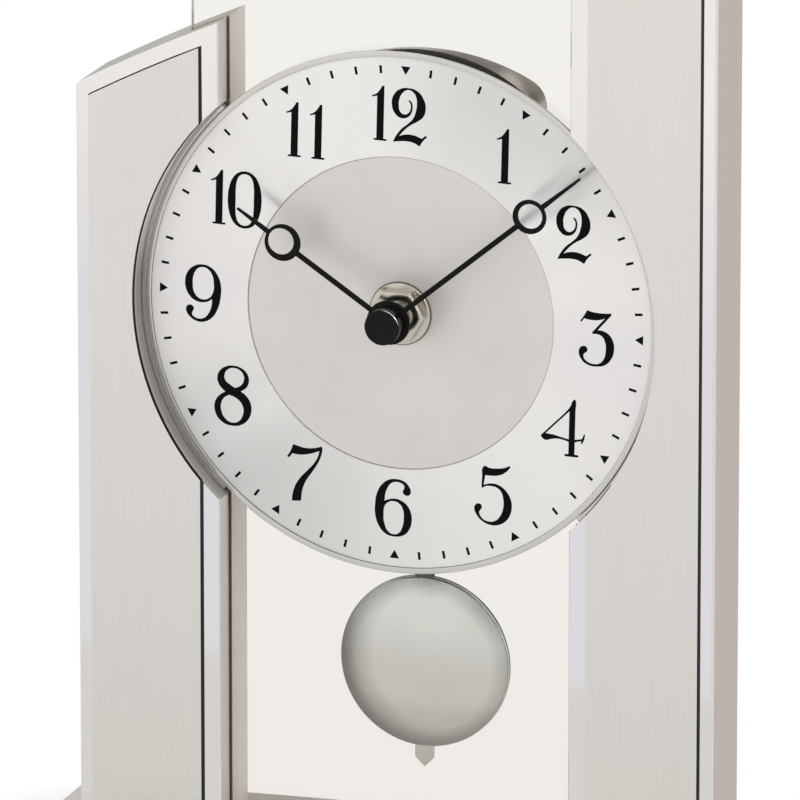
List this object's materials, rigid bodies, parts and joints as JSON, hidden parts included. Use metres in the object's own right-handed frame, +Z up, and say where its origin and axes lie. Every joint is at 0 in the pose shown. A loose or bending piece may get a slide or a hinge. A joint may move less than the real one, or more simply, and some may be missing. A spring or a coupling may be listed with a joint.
{
  "type": "desk pendulum clock",
  "caption": "Quartz desk clock with a round dial on a clear pane between two stepped metal pillars on a curved base, and a pendulum swinging behind the pane.",
  "frame": {"origin": "middle of the footprint, on the surface that the clock stands on", "axes": "+Z up, -Y towards the viewer of the dial, +X to that viewer's right"},
  "size_m": [0.206, 0.059, 0.2938],
  "materials": {
    "base": "silver lacquer",
    "feet": "matt",
    "pillar_screws": "zinc plated",
    "left_pillar": "silver lacquer",
    "right_pillar": "silver lacquer",
    "left_trim_plate": "polished",
    "right_trim_plate": "polished",
    "left_brushed_plate": "brushed lengthwise",
    "right_brushed_plate": "brushed lengthwise",
    "glass_pane": "polished",
    "dial_rim": "polished",
    "dial_plate": "satin",
    "chapter_ring": "brushed round the centre",
    "centre_washer": "nickel plated",
    "centre_nut": "nickel plated",
    "centre_bushing": "plain",
    "hour_hand": "satin black",
    "minute_hand": "satin black",
    "hand_cap": "gloss black",
    "hour_wheel": "moulded",
    "motion_wheel": "moulded",
    "minute_arbor": "plain",
    "centre_wheel": "moulded",
    "third_wheel": "moulded",
    "rotor": "moulded",
    "stator": "plain",
    "motor_coil": "enamelled wire",
    "circuit_board": "solder mask",
    "quartz_crystal": "plain",
    "case_front": "moulded",
    "case_rear": "moulded",
    "case_screws": "zinc plated",
    "battery": "printed sleeve",
    "plus_contact": "nickel plated",
    "minus_contact": "nickel plated",
    "mounting_tray": "moulded",
    "rear_cover": "silver lacquer",
    "cover_screws": "zinc plated",
    "setting_knob": "moulded",
    "pivot_pin": "plain",
    "drive_coil": "enamelled wire",
    "pendulum_hanger": "moulded",
    "drive_magnet": "nickel plated",
    "pendulum_rod": "satin",
    "bob_front": "satin",
    "bob_back": "moulded"
  },
  "bodies": {
    "stand": {"base": "base", "feet": "feet", "pillar_screws": "pillar_screws", "left_pillar": "left_pillar", "right_pillar": "right_pillar", "left_trim_plate": "left_trim_plate", "right_trim_plate": "right_trim_plate", "left_brushed_plate": "left_brushed_plate", "right_brushed_plate": "right_brushed_plate", "glass_pane": "glass_pane", "dial_rim": "dial_rim", "dial_plate": "dial_plate", "chapter_ring": "chapter_ring", "centre_washer": "centre_washer", "centre_nut": "centre_nut", "centre_bushing": "centre_bushing", "stator": "stator", "motor_coil": "motor_coil", "circuit_board": "circuit_board", "quartz_crystal": "quartz_crystal", "case_front": "case_front", "case_rear": "case_rear", "case_screws": "case_screws", "plus_contact": "plus_contact", "minus_contact": "minus_contact", "mounting_tray": "mounting_tray", "rear_cover": "rear_cover", "cover_screws": "cover_screws", "pivot_pin": "pivot_pin", "drive_coil": "drive_coil"},
    "minute": {"minute_arbor": "minute_arbor", "minute_hand": "minute_hand", "hand_cap": "hand_cap", "centre_wheel": "centre_wheel", "setting_knob": "setting_knob"},
    "hour": {"hour_wheel": "hour_wheel", "hour_hand": "hour_hand"},
    "motion": {"motion_wheel": "motion_wheel"},
    "third": {"third_wheel": "third_wheel"},
    "motor": {"rotor": "rotor"},
    "pendulum": {"pendulum_hanger": "pendulum_hanger", "drive_magnet": "drive_magnet", "pendulum_rod": "pendulum_rod", "bob_front": "bob_front", "bob_back": "bob_back"},
    "cell": {"battery": "battery"}
  },
  "joints": [
    {"name": "minute_turn", "type": "hinge", "parent": "stand", "child": "minute", "pos_m": [0, 0, 0.1665], "axis": [0, 1, 0], "continuous": true},
    {"name": "hour_turn", "type": "hinge", "parent": "stand", "child": "hour", "pos_m": [0, 0, 0.1665], "axis": [0, 1, 0], "continuous": true},
    {"name": "motion_turn", "type": "hinge", "parent": "stand", "child": "motion", "pos_m": [0.0072, 0, 0.17897], "axis": [0, 1, 0], "continuous": true},
    {"name": "third_turn", "type": "hinge", "parent": "stand", "child": "third", "pos_m": [0, 0, 0.1529], "axis": [0, 1, 0], "continuous": true},
    {"name": "rotor_turn", "type": "hinge", "parent": "stand", "child": "motor", "pos_m": [0.01091, 0, 0.1466], "axis": [0, 1, 0], "continuous": true},
    {"name": "pendulum_swing", "type": "hinge", "parent": "stand", "child": "pendulum", "pos_m": [0, 0.0234, 0.1545], "axis": [0, 1, 0], "range_deg": [-8, 8]},
    {"name": "battery_pull", "type": "slide", "parent": "stand", "child": "cell", "axis": [0, 1, 0], "range_m": [0, 0.04]}
  ],
  "couplings": [
    {"joint": "hour_turn", "follows": "minute_turn", "ratio": 0.083333},
    {"joint": "motion_turn", "follows": "minute_turn", "ratio": -0.33333},
    {"joint": "third_turn", "follows": "minute_turn", "ratio": -7.5},
    {"joint": "rotor_turn", "follows": "minute_turn", "ratio": 60}
  ]
}
